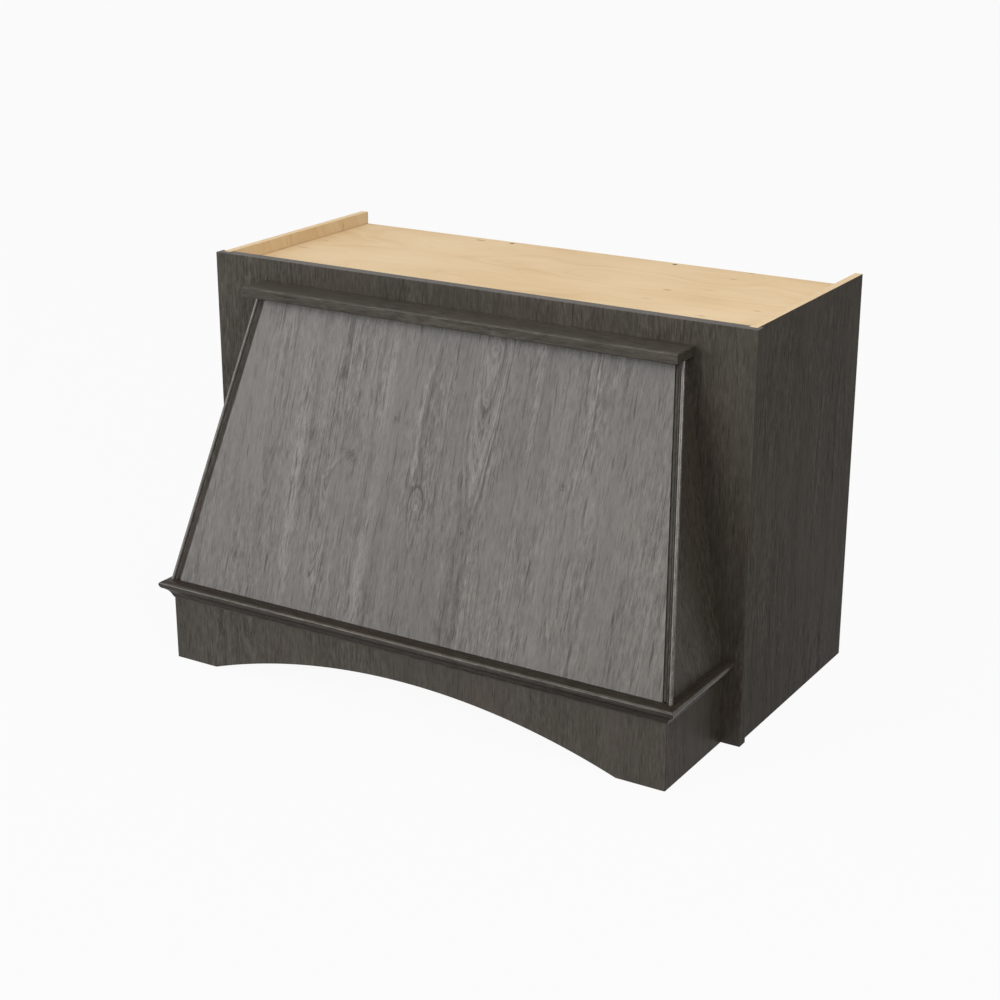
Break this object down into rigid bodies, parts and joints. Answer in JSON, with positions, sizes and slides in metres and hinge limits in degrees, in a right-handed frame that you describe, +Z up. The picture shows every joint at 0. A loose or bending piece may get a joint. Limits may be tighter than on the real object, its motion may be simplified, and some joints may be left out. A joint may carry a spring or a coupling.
{
  "type": "wooden range hood cover",
  "caption": "Wall-hung range hood cover in stained oak: an open-backed box with a tapered canopy, beaded corners, a moulded band and an arched apron.",
  "frame": {"origin": "centre of the bounding box at the level of the bottom edges of the box, face panel and apron", "axes": "+Z up, +X to the right seen from the front, +Y back to the wall; the canopy faces -Y"},
  "size_m": [0.9144, 0.5726, 0.6096],
  "materials": {
    "stained_oak": "dark grey-brown stain with a satin lacquer",
    "maple_ply": "clear lacquer inside; dark stained veneer on the box sides' outside",
    "poplar": "planed and unfinished",
    "black_steel": "black oxide"
  },
  "bodies": {
    "root": {"face_panel": "stained_oak", "apron_front": "stained_oak", "apron_return_left": "stained_oak", "apron_return_right": "stained_oak", "canopy_front_panel": "stained_oak", "canopy_side_panel_left": "stained_oak", "canopy_side_panel_right": "stained_oak", "corner_moulding_left": "stained_oak", "corner_moulding_right": "stained_oak", "cap_board": "stained_oak", "base_moulding_front": "stained_oak", "base_moulding_left": "stained_oak", "base_moulding_right": "stained_oak", "side_panel_left": "maple_ply", "side_panel_right": "maple_ply", "top_deck": "maple_ply", "top_hanging_rail": "poplar", "bottom_hanging_rail": "poplar", "insert_ledge_left": "poplar", "insert_ledge_right": "poplar", "insert_rail_left": "poplar", "insert_rail_right": "poplar", "insert_rail_front": "poplar", "apron_corner_block_left": "poplar", "apron_corner_block_right": "poplar", "apron_return_cleat_left": "poplar", "apron_return_cleat_right": "poplar", "canopy_corner_cleat_left": "poplar", "canopy_corner_cleat_right": "poplar", "canopy_side_cleat_left": "poplar", "canopy_side_cleat_right": "poplar", "canopy_nailer": "poplar", "deck_screw_left": "black_steel", "deck_screw_right": "black_steel"}
  },
  "joints": []
}
